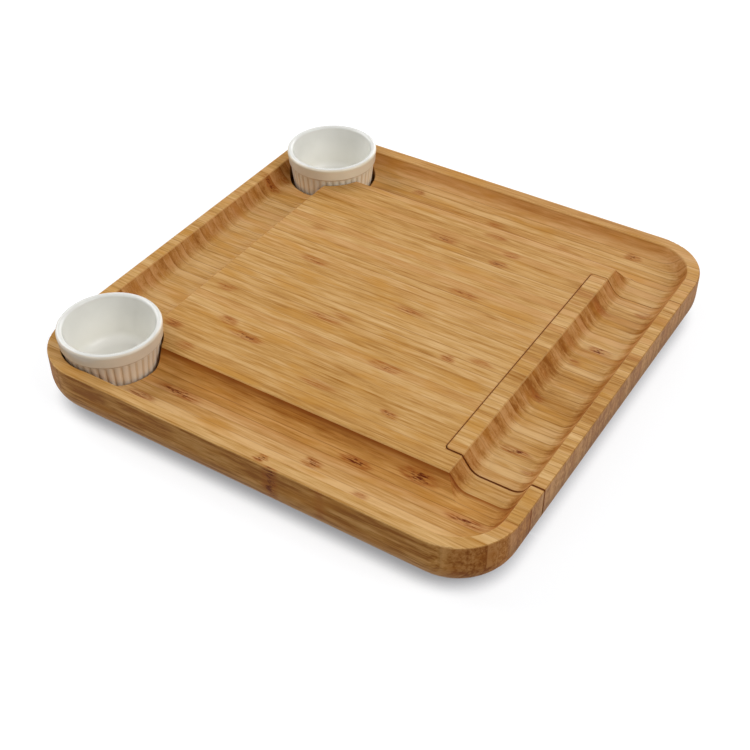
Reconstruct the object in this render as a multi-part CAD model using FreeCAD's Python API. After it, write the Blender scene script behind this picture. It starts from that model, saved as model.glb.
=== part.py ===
import FreeCAD, Part
import math
import os

# A square bamboo serving board with a hidden drawer and two fluted ramekins.
#
# Millimetres, +Z up. The origin lies under the middle of the board, on the surface
# that it stands on. The drawer pulls out along +X. Near is the -Y side, far is +Y.
# The board is one laminated block: a platform in the middle, a moat all round it and
# a rim at the edge. The drawer's cavity is routed in from below and closed by a panel.

# Board block
board_side = 330.0
board_height = 38.0
board_corner = 39.0            # plan radius of the four corners
foot_round = 22.0              # large round that tucks the underside in
edge_round = 0.8               # eased edges of the rim and the platform
rim_width = 8.2
moat_depth = 11.0
moat_cove = 10.0               # round between the moat's floor and its walls
rim_wall_angle = 60.0          # moat's outer wall, degrees from level
platform_wall_angle = 54.0     # moat's inner wall, degrees from level
platform_inset = 52.5          # board's edge to the platform's edge

# Ramekin wells
well_radius = 32.5
well_wall = 7.5                # wood left between a well and the board's edge
well_floor = 14.0              # height of a well's floor above the underside
well_cove = 2.0

# Drawer opening and cavity
drawer_width = 198.4           # width of the opening between its two side seams
drawer_line = 1.2              # drawer's middle, off the board's middle towards the far side
front_strip = 11.5             # strip of the platform that moves with the drawer
seam_corner = 3.0              # plan radius of the opening's two inner corners
seam_gap = 0.5                 # open line behind the drawer's front and round its tray
near_seam_gap = 1.1            # open line at the front's near end
far_seam_gap = 0.4             # open line at the front's far end
cavity_height = 18.0
cavity_back_wall = 3.0         # wood between the wells and the cavity's back, along X
cavity_corner = 6.0            # router's radius in the cavity's back corners
running_gap = 0.3              # between sliding faces

# Base panel
panel_thickness = 5.5
panel_sink = 0.5               # panel's underside above the board's underside
panel_margin = 12.0            # how far the panel laps past the cavity
panel_corner = 8.0
panel_gap = 0.4
front_lift = 0.8               # drawer front's underside above the board's underside

# Runner strips on the cavity's side walls
runner_height = 6.0
runner_width = 5.5
runner_end_gap = 2.0           # short of the cavity's back corners and of the seam

# Dowels, screws and magnets
fixed_gap = 0.05               # round what is pressed, screwed or glued in
dowel_radius = 4.0
dowel_in_tray = 13.0
dowel_in_front = 17.0
dowel_count = 3
dowel_edge = 28.0              # end dowels from the tray's sides
magnet_radius = 4.0
magnet_thickness = 3.0
magnet_sink = 0.1
magnet_offset = 45.0           # each magnet from the middle
base_screw = {"shank": 1.75, "head": 3.5, "length": 13.0}
runner_screw = {"shank": 1.25, "head": 2.4, "length": 14.0}
screw_sink = 0.2
side_screw_count = 3
side_screw_edge = 14.0         # end screws from the panel's front and back edges
back_screw_offset = 48.0       # each back screw from the middle
runner_screw_count = 3
runner_screw_edge = 16.0

# Cheese tools and their recesses in the tray
handle_length = 82.0
handle_neck = 13.0             # handle's width beside the blade
handle_butt = 16.0             # handle's width at its end
handle_thickness = 11.5
handle_round = 4.0
handle_butt_round = 7.0
blade_thickness = 1.6
tang_width = 8.0
tang_length = 34.0
tang_round = 1.0
tool_gap = 1.0                 # round a tool in its recess
tool_cover = 1.5               # tray's top above a handle's top
blade_gap = 0.6                # under a blade
recess_corner = 3.5
recess_rib = 5.0               # wood between two recesses
tray_front_margin = 16.0
finger_radius = 14.0           # round of the channel that lets fingers under the handles
finger_place = 42.0            # from a handle's neck back to the channel's middle
finger_reach = 12.0            # channel's length past the outer handles
blade_sizes = {"cleaver": (40.0, 60.0), "spade": (28.0, 66.0), "fork": (20.0, 68.0), "slicer": (17.0, 72.0)}
neck_length = 8.0              # narrow stretch between a handle and its blade
neck_round = 3.0
blade_round = 4.0
tip_round = 1.0
ground_width = 4.0             # band along a cutting edge that is ground thin
cutting_edge = 0.3             # steel left at a cutting edge
cleaver_shoulder = 4.0         # from the neck to the blade's full width
slicer_shoulder = 6.0
spade_waist = 14.0             # where the neck starts to widen
spade_waist_round = 12.0
spade_lip = 6.0                # from the spade's widest place to its straight edge
spade_lip_inset = 3.0
fork_shoulder = 16.0
prong_width = 6.0
prong_length = 37.0
prong_taper = 8.0              # pointed stretch of a prong

# Ramekins
ramekin_height = 37.3
ramekin_gap = 0.9              # between a well's wall and the ribs' tops
ramekin_taper = 2.8            # how much less radius the foot has than the ribs' tops
ramekin_lift = 0.3             # foot above the well's floor
ramekin_wall = 4.0
ramekin_floor = 4.5
ramekin_cove = 7.0
band_height = 9.7
band_step = 1.0                # band's lower edge stands proud of the ribs
band_flare = 0.8               # band's lip stands proud of its lower edge
band_round = 0.6               # band's lower edge
lip_round = 1.9
foot_height = 2.5
foot_draft = 0.4
foot_edge = 0.8
foot_recess = 1.2
foot_ring = 4.0
rib_count = 40
rib_depth = 0.8
first_rib = 2.5                # degrees from +X to the middle of a rib
rib_end = 2.4                  # stretch under the band where the ribs run out
rib_end_slack = 0.1            # run-out starts this far behind the grooves and ends this far over the ribs

# Places that follow from the sizes above
half_side = board_side / 2
above = board_height + 2.0                      # top of every cutter that opens upwards
moat_floor = board_height - moat_depth
platform_half = half_side - platform_inset
well_centre = half_side - well_wall - well_radius
seam_x = platform_half - front_strip
front_x = seam_x + seam_gap
opening_half = drawer_width / 2
tray_half = opening_half - seam_gap
cavity_floor = panel_sink + panel_thickness
cavity_ceiling = cavity_floor + cavity_height
cavity_back = well_radius + cavity_back_wall - well_centre
tray_back = cavity_back + seam_gap
tray_low = cavity_floor + running_gap
tray_top = cavity_ceiling - running_gap
tray_middle = (tray_low + tray_top) / 2
tool_floor = tray_top - tool_cover - handle_thickness
blade_low = tool_floor + (handle_thickness - blade_thickness) / 2
tool_length = handle_length + max(length for width, length in blade_sizes.values())
neck_y = handle_length - tool_length / 2
finger_y = neck_y - finger_place
ramekin_radius = well_radius - ramekin_gap      # over the ribs, under the band
ramekin_base = well_floor + ramekin_lift


def point(x, y, z):
    return FreeCAD.Vector(x, y, z)


def slope_run(height, angle):
    """Level run of a slope that rises by height."""
    return height / math.tan(math.radians(angle))


def tangent_run(radius, angle):
    """Length of leg that an arc takes up where a line turns by angle."""
    return radius * math.tan(math.radians(angle / 2))


def rounded_wire(corners, place):
    """Closed wire through corners (u, v, radius); place turns u, v into a point."""
    spans = []
    for index, (u, v, radius) in enumerate(corners):
        here = place(u, v)
        if radius == 0:
            spans.append((here, None, here))
            continue
        back = (place(*corners[index - 1][:2]) - here).normalize()
        ahead = (place(*corners[(index + 1) % len(corners)][:2]) - here).normalize()
        half_angle = back.getAngle(ahead) / 2
        run = radius / math.tan(half_angle)
        inward = (back + ahead).normalize()
        crown = here + inward * (radius / math.sin(half_angle) - radius)
        spans.append((here + back * run, crown, here + ahead * run))
    edges = []
    for index, (start, crown, end) in enumerate(spans):
        if crown is not None:
            edges.append(Part.Arc(start, crown, end).toShape())
        following = spans[(index + 1) % len(spans)][0]
        if end.distanceToPoint(following) > 1e-6:
            edges.append(Part.makeLine(end, following))
    return Part.Wire(edges)


def section_face(corners):
    """Face in the XZ plane from corners (x, z, radius)."""
    return Part.Face(rounded_wire(corners, lambda u, v: point(u, 0, v)))


def plan_block(corners, low, high):
    """Upright block over a plan outline of corners (x, y, radius)."""
    outline = rounded_wire(corners, lambda u, v: point(u, v, low))
    return Part.Face(outline).extrude(point(0, 0, high - low))


def rectangle(x_low, x_high, y_low, y_high, radius=0):
    places = [(x_low, y_low), (x_high, y_low), (x_high, y_high), (x_low, y_high)]
    return [(x, y, radius) for x, y in places]


def turned(corners):
    """Solid of revolution about Z from a section of corners (r, z, radius)."""
    return section_face(corners).revolve(point(0, 0, 0), point(0, 0, 1), 360)


def moved(shape, x, y, z):
    copy = shape.copy()
    copy.translate(point(x, y, z))
    return copy


def pointed(shape, direction):
    """Turn a shape that points up +Z so that it points along direction."""
    copy = shape.copy()
    turn = FreeCAD.Rotation(point(0, 0, 1), direction)
    copy.Placement = FreeCAD.Placement(point(0, 0, 0), turn).multiply(copy.Placement)
    return copy


def joined(shapes):
    first, *others = shapes
    return first.fuse(others).removeSplitter() if others else first


def framed_block(section):
    """Block over the board's plan whose edge has the given section all the way round.

    The section's corners are (r, z, radius), with r from the centre line of the
    board's round corners outwards.
    """
    face = section_face(section)
    reach = half_side - board_corner
    low = face.BoundBox.ZMin
    high = face.BoundBox.ZMax
    pieces = [Part.makeBox(2 * reach, 2 * reach, high - low, point(-reach, -reach, low))]
    corner = moved(face.revolve(point(0, 0, 0), point(0, 0, 1), 90), reach, reach, 0)
    side = moved(face, reach, -reach, 0).extrude(point(0, 2 * reach, 0))
    for quarter in range(4):
        for piece in (corner, side):
            turned_piece = piece.copy()
            turned_piece.rotate(point(0, 0, 0), point(0, 0, 1), 90 * quarter)
            pieces.append(turned_piece)
    return joined(pieces)


def platform():
    """Raised middle with hollow-curved skirts, mitred at its four corners."""
    foot = platform_half + slope_run(moat_depth, platform_wall_angle)
    skirt = foot + tangent_run(moat_cove, platform_wall_angle)
    right = [(skirt, moat_floor - 1, 0), (skirt, moat_floor, 0), (foot, moat_floor, moat_cove),
             (platform_half, board_height, edge_round)]
    left = [(-x, z, radius) for x, z, radius in reversed(right)]
    across = moved(section_face(right + left), 0, -half_side, 0).extrude(point(0, board_side, 0))
    along = across.copy()
    along.rotate(point(0, 0, 0), point(0, 0, 1), 90)
    return across.common(along)


def moat():
    """Open channel between the rim and the platform."""
    rim_edge = board_corner - rim_width
    rim_foot = rim_edge - slope_run(moat_depth, rim_wall_angle)
    lead = tangent_run(edge_round, rim_wall_angle)
    section = [(0, moat_floor, 0), (rim_foot, moat_floor, moat_cove), (rim_edge, board_height, edge_round),
               (rim_edge + lead, board_height, 0), (rim_edge + lead, above, 0), (0, above, 0)]
    return framed_block(section).cut(platform())


def board_blank():
    """The whole laminated block with its moat, before the drawer is cut out of it."""
    section = [(0, 0, 0), (board_corner, 0, foot_round), (board_corner, board_height, edge_round),
               (0, board_height, 0)]
    return framed_block(section).cut(moat())


def drawer_outline(back_gap=0.0, near_gap=0.0, far_gap=0.0):
    """Plan of the drawer front, drawn in from the opening's three walls by the gaps."""
    beyond = half_side + 5
    radius = seam_corner - back_gap
    back = seam_x + back_gap
    near = near_gap - opening_half
    far = opening_half - far_gap
    return [(back, near, radius), (beyond, near, 0), (beyond, far, 0), (back, far, radius)]


def slot_outline(back, front, half, radius):
    """Plan of a cavity or tray whose two back corners are round."""
    return [(back, -half, radius), (front, -half, 0), (front, half, 0), (back, half, radius)]


def on_drawer_line(shape):
    """Shape that was drawn about Y = 0, moved to the drawer's middle."""
    return moved(shape, 0, drawer_line, 0)


def spaced(low, high, count):
    """Evenly spaced places from low to high."""
    return [low + (high - low) * index / max(count - 1, 1) for index in range(count)]


def screw(size, gap=0.0):
    """Countersunk wood screw with its head at the origin and its point up +Z."""
    head = size["head"] + gap
    shank = size["shank"] + gap
    length = size["length"] + gap
    neck = size["head"] - size["shank"]
    shoulder = length - 2 * shank
    return turned([(0, 0, 0), (head, 0, 0), (shank, neck, 0), (shank, shoulder, 0), (0, length, 0)])


def screw_hole(size):
    """Room for a countersunk screw, open below its head."""
    mouth = Part.makeCylinder(size["head"] + fixed_gap, screw_sink + 1, point(0, 0, -screw_sink - 1))
    return joined([screw(size, fixed_gap), mouth])


def base_screw_places():
    side_y = opening_half + panel_margin / 2
    back_x = cavity_back - panel_margin / 2
    places = [(back_x, side * back_screw_offset) for side in (-1, 1)]
    along = spaced(cavity_back - panel_margin + side_screw_edge, seam_x - side_screw_edge, side_screw_count)
    return places + [(x, side * side_y) for x in along for side in (-1, 1)]


def at_base_screws(shape):
    return [moved(shape, x, y, panel_sink + screw_sink) for x, y in base_screw_places()]


def runner_span():
    return cavity_back + cavity_corner + runner_end_gap, seam_x - runner_end_gap


def at_runner_screws(shape, side):
    """Copies of a screw shape along one runner, pointing out into the cavity's wall."""
    back, front = runner_span()
    outward = pointed(shape, point(0, side, 0))
    inner_face = side * (opening_half - runner_width + screw_sink)
    places = spaced(back + runner_screw_edge, front - runner_screw_edge, runner_screw_count)
    return [moved(outward, x, inner_face, tray_middle) for x in places]


def magnets(face_x, direction, gap=0.0):
    """Two disc magnets let into a face across X; direction points into the wood."""
    disc = Part.makeCylinder(magnet_radius + gap, magnet_thickness + gap)
    inset = pointed(disc, point(direction, 0, 0))
    start = face_x + direction * magnet_sink
    return [moved(inset, start, side * magnet_offset, tray_middle) for side in (-1, 1)]


def magnet_holes(face_x, direction):
    hole = Part.makeCylinder(magnet_radius + fixed_gap, magnet_sink + 1, point(0, 0, -1))
    mouth = pointed(hole, point(direction, 0, 0))
    mouths = [moved(mouth, face_x, side * magnet_offset, tray_middle) for side in (-1, 1)]
    return mouths + magnets(face_x, direction, fixed_gap)


def dowels(gap=0.0):
    """Dowels along X that join the tray to the drawer's front."""
    length = dowel_in_tray + dowel_in_front + 2 * gap
    pin = pointed(Part.makeCylinder(dowel_radius + gap, length), point(1, 0, 0))
    places = spaced(dowel_edge - tray_half, tray_half - dowel_edge, dowel_count)
    return [moved(pin, front_x - dowel_in_tray - gap, y, tray_middle) for y in places]


def ramekin_places():
    return {"near": (-well_centre, -well_centre), "far": (-well_centre, well_centre)}


def board_body(blank):
    well = turned([(0, well_floor, 0), (well_radius, well_floor, well_cove),
                   (well_radius, above, 0), (0, above, 0)])
    wells = [moved(well, x, y, 0) for x, y in ramekin_places().values()]
    opening = plan_block(drawer_outline(), -1, above)
    cavity_front = seam_x + seam_corner
    cavity = plan_block(slot_outline(cavity_back, cavity_front, opening_half, cavity_corner),
                        -1, cavity_ceiling)
    rebate_back = cavity_back - panel_margin
    rebate_half = opening_half + panel_margin
    rebate = plan_block(slot_outline(rebate_back, seam_x, rebate_half, panel_corner), -1, cavity_floor)
    cutters = [opening, cavity, rebate] + at_base_screws(screw_hole(base_screw))
    for side in (-1, 1):
        cutters += at_runner_screws(screw_hole(runner_screw), side)
    cutters += magnet_holes(cavity_back, -1)
    return blank.cut(wells + [on_drawer_line(cutter) for cutter in cutters])


def base_panel():
    half = opening_half + panel_margin - panel_gap
    back = cavity_back - panel_margin + panel_gap
    outline = slot_outline(back, seam_x - panel_gap, half, panel_corner - panel_gap)
    return plan_block(outline, panel_sink, cavity_floor).cut(at_base_screws(screw_hole(base_screw)))


def runner(side):
    back, front = runner_span()
    strip = Part.makeBox(front - back, runner_width, runner_height,
                         point(back, -runner_width / 2, tray_middle - runner_height / 2))
    placed = moved(strip, 0, side * (opening_half - runner_width / 2), 0)
    return placed.cut(at_runner_screws(screw_hole(runner_screw), side))


def drawer_front(blank):
    zone = plan_block(drawer_outline(seam_gap, near_seam_gap, far_seam_gap), front_lift, above)
    sockets = [on_drawer_line(pin) for pin in dowels(fixed_gap)]
    return blank.common(on_drawer_line(zone)).cut(sockets)


def tool_places():
    """Middle of each tool across X, from the drawer's front backwards."""
    places = {}
    edge = front_x - tray_front_margin
    for name, (width, length) in blade_sizes.items():
        recess = max(width, handle_butt) + 2 * tool_gap
        places[name] = edge - recess / 2
        edge -= recess + recess_rib
    return places


def tool_recess(width, length):
    """Recess for one tool, with its neck at the origin and its blade along +Y."""
    handle_half = handle_butt / 2 + tool_gap
    blade_half = width / 2 + tool_gap
    handle_plan = rectangle(-handle_half, handle_half, -handle_length - tool_gap, tool_gap, recess_corner)
    blade_plan = rectangle(-blade_half, blade_half, -recess_corner, length + tool_gap, recess_corner)
    return joined([plan_block(handle_plan, tool_floor, above),
                   plan_block(blade_plan, blade_low - blade_gap, above)])


def drawer_tray():
    outline = slot_outline(tray_back, front_x, tray_half, cavity_corner - seam_gap)
    tray = plan_block(outline, tray_low, tray_top)
    groove_depth = runner_width - seam_gap + running_gap
    groove_height = runner_height + 2 * running_gap
    groove = Part.makeBox(board_side, groove_depth, groove_height,
                          point(-half_side, tray_half - groove_depth, tray_middle - groove_height / 2))
    mirrored_groove = groove.mirror(point(0, 0, 0), point(0, 1, 0))
    cutters = [groove, mirrored_groove] + dowels(fixed_gap) + magnet_holes(tray_back, 1)
    places = tool_places()
    for name, (width, length) in blade_sizes.items():
        cutters.append(moved(tool_recess(width, length), places[name], neck_y, 0))
    channel_back = min(places.values()) - handle_butt / 2 - finger_reach
    channel_front = max(places.values()) + handle_butt / 2 + finger_reach
    channel = pointed(Part.makeCylinder(finger_radius, channel_front - channel_back), point(1, 0, 0))
    cutters.append(moved(channel, channel_back, finger_y, tool_floor + finger_radius))
    return tray.cut(cutters)


def mirrored_outline(right_side):
    """Outline that is symmetric about Y, from the points of its right side."""
    left_side = [(-x, y, radius) for x, y, radius in reversed(right_side)]
    return right_side + left_side


def blade(right_side):
    """Flat blade with its tang behind the neck, from the points of its right side."""
    tang_end = (tang_width / 2, -tang_length, tang_round)
    return plan_block(mirrored_outline([tang_end] + right_side), blade_low, blade_low + blade_thickness)


def ground_thin(flat, start, end):
    """Grind a blade's straight edge from both faces; the blade lies left of start to end."""
    along = end - start
    outward = along.cross(point(0, 0, 1)).normalize()
    middle = blade_low + blade_thickness / 2
    wedges = []
    for side in (-1, 1):
        face = point(0, 0, middle + side * blade_thickness / 2)
        edge = point(0, 0, middle + side * cutting_edge / 2)
        clear = point(0, 0, side)
        section = [start - outward * ground_width + face, start + edge, start + outward + edge,
                   start + outward + face + clear, start - outward * ground_width + face + clear]
        wedges.append(Part.Face(Part.makePolygon(section + section[:1])).extrude(along))
    return flat.cut(wedges)


def cleaver_blade(width, length):
    """Broad flat blade for firm cheese, sharp along one side."""
    half = width / 2
    shoulder = neck_length + cleaver_shoulder
    flat = blade([(tang_width / 2, neck_length, neck_round), (half, shoulder, blade_round),
                  (half, length, blade_round)])
    return ground_thin(flat, point(half, shoulder, 0), point(half, length, 0))


def spade_blade(width, length):
    """Blade that widens to a sharp straight front, for chipping hard cheese."""
    half = width / 2
    front = half - spade_lip_inset
    flat = blade([(tang_width / 2, spade_waist, spade_waist_round), (half, length - spade_lip, blade_round),
                  (front, length, tip_round)])
    return ground_thin(flat, point(half, length, 0), point(-half, length, 0))


def fork_blade(width, length):
    """Two-pronged serving fork."""
    half = width / 2
    taper = length - prong_taper
    inside = half - prong_width
    return blade([(tang_width / 2, neck_length, 2 * neck_round),
                  (half, neck_length + fork_shoulder, blade_round), (half, taper, blade_round),
                  (half - prong_width / 2, length, tip_round), (inside, taper, neck_round),
                  (inside, length - prong_length, prong_width / 2)])


def slicer_blade(width, length):
    """Narrow blade with a round tip, for soft cheese, sharp along one side."""
    half = width / 2
    shoulder = neck_length + slicer_shoulder
    flat = blade([(tang_width / 2, neck_length, neck_round), (half, shoulder, blade_round),
                  (half, length, 0.9 * half)])
    return ground_thin(flat, point(half, shoulder, 0), point(half, length, 0))


def handle():
    """Flat bamboo handle with soft edges, slotted for the blade's tang."""
    neck = handle_neck / 2
    butt = handle_butt / 2
    outline = mirrored_outline([(butt, -handle_length, handle_butt_round), (neck, 0, handle_round + 0.5)])
    bar = plan_block(outline, tool_floor, tool_floor + handle_thickness)
    rims = [edge for edge in bar.Edges if edge.BoundBox.ZLength < 0.01]
    slot = Part.makeBox(tang_width, tang_length, blade_thickness,
                        point(-tang_width / 2, -tang_length, blade_low))
    return bar.makeFillet(handle_round, rims).cut(slot)


def ribbed_wire(radius, z):
    """Ring of half-round ribs; radius is over their tops."""
    valley = radius - rib_depth
    step = 2 * math.pi / rib_count

    def around(distance, angle):
        return point(distance * math.cos(angle), distance * math.sin(angle), z)

    arcs = []
    for index in range(rib_count):
        angle = math.radians(first_rib) + index * step
        arcs.append(Part.Arc(around(valley, angle - step / 2), around(radius, angle),
                             around(valley, angle + step / 2)).toShape())
    return Part.Wire(arcs)


def ramekin():
    """Fluted ramekin with its foot at z = 0."""
    shoulder = ramekin_height - band_height
    foot_radius = ramekin_radius - ramekin_taper
    lip = ramekin_radius + band_step + band_flare
    inside = foot_radius - ramekin_wall
    inside_top = lip - ramekin_wall
    rings = [ribbed_wire(foot_radius, foot_height), ribbed_wire(ramekin_radius, shoulder)]
    ribs = Part.makeLoft(rings, True, True)
    run_out = turned([(0, shoulder - rib_end, 0),
                      (ramekin_radius - rib_depth - rib_end_slack, shoulder - rib_end, 0),
                      (ramekin_radius + rib_end_slack, shoulder, 0), (0, shoulder, 0)])
    band = turned([(0, shoulder, 0), (ramekin_radius + band_step, shoulder, band_round),
                   (lip, ramekin_height, lip_round), (0, ramekin_height, 0)])
    foot_top = foot_radius - rib_depth
    foot = turned([(0, 0, 0), (foot_top - foot_draft, 0, foot_edge), (foot_top, foot_height, 0),
                   (0, foot_height, 0)])
    bowl = turned([(0, ramekin_floor, 0), (inside, ramekin_floor, ramekin_cove),
                   (inside_top, ramekin_height, lip_round), (inside_top + lip_round, ramekin_height, 0),
                   (inside_top + lip_round, ramekin_height + 1, 0), (0, ramekin_height + 1, 0)])
    recess = Part.makeCylinder(foot_radius - foot_ring, foot_recess)
    return ribs.fuse([run_out, band, foot]).cut([bowl, recess]).removeSplitter()


def parts():
    """Every node's shape, by name."""
    blank = board_blank()
    inside = {
        "base_panel": base_panel(),
        "base_screws": Part.makeCompound(at_base_screws(screw(base_screw))),
        "near_runner": runner(-1),
        "far_runner": runner(1),
        "runner_screws": Part.makeCompound([one for side in (-1, 1) for one in
                                            at_runner_screws(screw(runner_screw), side)]),
        "board_magnets": Part.makeCompound(magnets(cavity_back, -1)),
        "drawer_tray": drawer_tray(),
        "drawer_dowels": Part.makeCompound(dowels()),
        "drawer_magnets": Part.makeCompound(magnets(tray_back, 1)),
    }
    blades = {"cleaver": cleaver_blade, "spade": spade_blade, "fork": fork_blade, "slicer": slicer_blade}
    for name, place in tool_places().items():
        inside[name + "_blade"] = moved(blades[name](*blade_sizes[name]), place, neck_y, 0)
        inside[name + "_handle"] = moved(handle(), place, neck_y, 0)
    nodes = {"board_body": board_body(blank), "drawer_front": drawer_front(blank)}
    nodes.update({name: on_drawer_line(shape) for name, shape in inside.items()})
    for name, (x, y) in ramekin_places().items():
        nodes[name + "_ramekin"] = moved(ramekin(), x, y, ramekin_base)
    return nodes


os.makedirs("parts", exist_ok=True)
for node, shape in parts().items():
    shape.exportStep("parts/" + node + ".step")
    print(node, "solids", len(shape.Solids), "valid", shape.isValid(), "volume", round(shape.Volume))
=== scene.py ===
import math

import bmesh
import bpy
from mathutils import Matrix, Vector


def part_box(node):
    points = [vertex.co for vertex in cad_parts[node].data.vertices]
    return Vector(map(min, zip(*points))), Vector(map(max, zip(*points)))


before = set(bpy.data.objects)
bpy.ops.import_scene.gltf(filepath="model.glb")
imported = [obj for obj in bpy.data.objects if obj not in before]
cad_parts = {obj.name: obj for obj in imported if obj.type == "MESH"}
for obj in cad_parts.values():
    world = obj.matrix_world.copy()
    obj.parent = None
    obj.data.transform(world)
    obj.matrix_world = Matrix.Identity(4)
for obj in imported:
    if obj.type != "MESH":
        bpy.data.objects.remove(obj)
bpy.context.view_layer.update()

scene = bpy.context.scene


# ---- View ----------------------------------------------------------------------
# The board is seen from above its near right corner, through a long lens. The camera
# goes round the board by its azimuth and rises by its elevation.

view_azimuth = math.radians(32.506)
view_elevation = math.radians(40.945)
view_roll = math.radians(-0.28)
view_distance = 0.8302
view_target = Vector((0.00997, -0.02819, 0.0))

camera_data = bpy.data.cameras.new("camera")
camera_data.lens = 60.74
camera_data.sensor_width = 36.0
camera_data.clip_start = 0.01
camera = bpy.data.objects.new("camera", camera_data)
turn = Matrix.Rotation(view_azimuth, 4, "Z") @ Matrix.Rotation(math.pi / 2 - view_elevation, 4, "X")
back = turn @ Vector((0, 0, view_distance))
camera.matrix_world = Matrix.Translation(view_target + back) @ turn @ Matrix.Rotation(view_roll, 4, "Z")
scene.collection.objects.link(camera)
scene.camera = camera
scene.view_settings.view_transform = "Standard"


# ---- Board block ---------------------------------------------------------------
# One block of bamboo strips, glued edge to edge with their grain along X, in an upper
# and a lower layer. It is routed, sanded and oiled. The ends of the strips show on the
# faces that look along X, and brown nodes cross some strips.

def rgb(red, green, blue):
    """Colour from a paint card's 0 to 255 values."""
    def linear(value):
        value /= 255
        return value / 12.92 if value <= 0.04045 else ((value + 0.055) / 1.055) ** 2.4
    return (linear(red), linear(green), linear(blue), 1.0)


def add(tree, kind, feeds=None, **settings):
    """Add a node. Each socket in feeds is given a value or another node's output."""
    made = tree.nodes.new(kind)
    for name, value in settings.items():
        setattr(made, name, value)
    for socket, value in (feeds or {}).items():
        if isinstance(value, bpy.types.NodeSocket):
            tree.links.new(value, made.inputs[socket])
        else:
            made.inputs[socket].default_value = value
    return made


def calc(tree, operation, *values, clamp=False):
    """Result of a Math node."""
    made = add(tree, "ShaderNodeMath", dict(enumerate(values)), operation=operation, use_clamp=clamp)
    return made.outputs[0]


def calc_vector(tree, operation, *values, output="Vector"):
    """Result of a Vector Math node."""
    made = add(tree, "ShaderNodeVectorMath", dict(enumerate(values)), operation=operation)
    return made.outputs[output]


def dot(tree, first, second):
    return calc_vector(tree, "DOT_PRODUCT", first, second, output="Value")


def vector_of(tree, x, y, z):
    return add(tree, "ShaderNodeCombineXYZ", {0: x, 1: y, 2: z}).outputs[0]


def part_of(tree, vector, axis):
    """One of a vector's three numbers."""
    return add(tree, "ShaderNodeSeparateXYZ", {0: vector}).outputs[axis]


def step_up(tree, value, low, high):
    """Smooth step from 0 at low to 1 at high."""
    return add(tree, "ShaderNodeMapRange", {"Value": value, "From Min": low, "From Max": high},
               interpolation_type="SMOOTHSTEP").outputs["Result"]


def step_down(tree, value, low, high):
    """Smooth step from 1 at low to 0 at high."""
    return calc(tree, "SUBTRACT", 1.0, step_up(tree, value, low, high))


def sway(tree, value, amount, onto):
    """Add to onto how far a value of 0 to 1 stands off its middle, times amount."""
    return calc(tree, "MULTIPLY_ADD", calc(tree, "SUBTRACT", value, 0.5), amount, onto)


def blend(tree, factor, first, second, how="MIX"):
    """Colour from first to second."""
    return add(tree, "ShaderNodeMix", {0: factor, 6: first, 7: second},
               data_type="RGBA", blend_type=how).outputs[2]


def tint(tree, factor, colour, by):
    """Colour multiplied by another, as far as factor says."""
    return blend(tree, factor, colour, by, "MULTIPLY")


def noise_at(tree, place, waves, detail=2.0, roughness=0.5):
    """Noise from 0 to 1. waves says how many waves it has to the metre along X, Y and Z."""
    stretched = calc_vector(tree, "MULTIPLY", place, waves)
    return add(tree, "ShaderNodeTexNoise", {"Vector": stretched, "Scale": 1.0, "Detail": detail,
                                            "Roughness": roughness}).outputs["Fac"]


def chance(tree, vector):
    """Four random numbers that stay the same for one vector."""
    made = add(tree, "ShaderNodeTexWhiteNoise", {"Vector": vector}, noise_dimensions="3D")
    parts = add(tree, "ShaderNodeSeparateColor", {0: made.outputs["Color"]})
    return [made.outputs["Value"]] + list(parts.outputs)


def new_group(name, inputs, outputs):
    """Empty shader group, and what it is given.

    inputs are its sockets' (name, kind, value), and outputs their (name, kind).
    """
    group = bpy.data.node_groups.new(name, "ShaderNodeTree")
    for socket_name, kind, value in inputs:
        socket = group.interface.new_socket(name=socket_name, in_out="INPUT",
                                            socket_type="NodeSocket" + kind)
        if value is not None:
            socket.default_value = value
    for socket_name, kind in outputs:
        group.interface.new_socket(name=socket_name, in_out="OUTPUT", socket_type="NodeSocket" + kind)
    return group, group.nodes.new("NodeGroupInput").outputs


def place_group(tree, group, **feeds):
    """Put a shader group in a tree; each feed's _ stands for a space. Gives its outputs."""
    feeds = {name.replace("_", " "): value for name, value in feeds.items()}
    return add(tree, "ShaderNodeGroup", feeds, node_tree=group).outputs


def strip_lattice():
    """Which strip of the lamination a place is in, and how far it is from a glue line."""
    group, given = new_group("strip lattice",
                             [("Place", "Vector", None), ("Strip Width", "Float", 0.007),
                              ("Layer Height", "Float", 0.02), ("Batch", "Float", 0.0)],
                             [("Strip", "Float"), ("Layer", "Float"), ("Part", "Float"), ("Edge", "Float")])
    layer_run = calc(group, "DIVIDE", part_of(group, given["Place"], 2), given["Layer Height"])
    layer = calc(group, "FLOOR", layer_run)
    layer_line = calc(group, "MULTIPLY", calc(group, "PINGPONG", layer_run, 0.5), given["Layer Height"])

    # strips differ in width, so each glue line stands a little off its even place
    line_stray = 0.13
    run = calc(group, "DIVIDE", part_of(group, given["Place"], 1), given["Strip Width"])
    nearest = calc(group, "ROUND", run)
    stray = chance(group, vector_of(group, nearest, layer, given["Batch"]))[0]
    line = sway(group, stray, line_stray, nearest)
    beyond = calc(group, "GREATER_THAN", run, line)
    strip = calc(group, "ADD", calc(group, "SUBTRACT", nearest, 1.0), beyond)
    part = calc(group, "ADD", calc(group, "SUBTRACT", run, line), calc(group, "SUBTRACT", 1.0, beyond))
    strip_line = calc(group, "MULTIPLY", calc(group, "ABSOLUTE", calc(group, "SUBTRACT", run, line)),
                      given["Strip Width"])
    add(group, "NodeGroupOutput", {"Strip": strip, "Layer": layer, "Part": part,
                                   "Edge": calc(group, "MINIMUM", strip_line, layer_line)})
    return group


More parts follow.
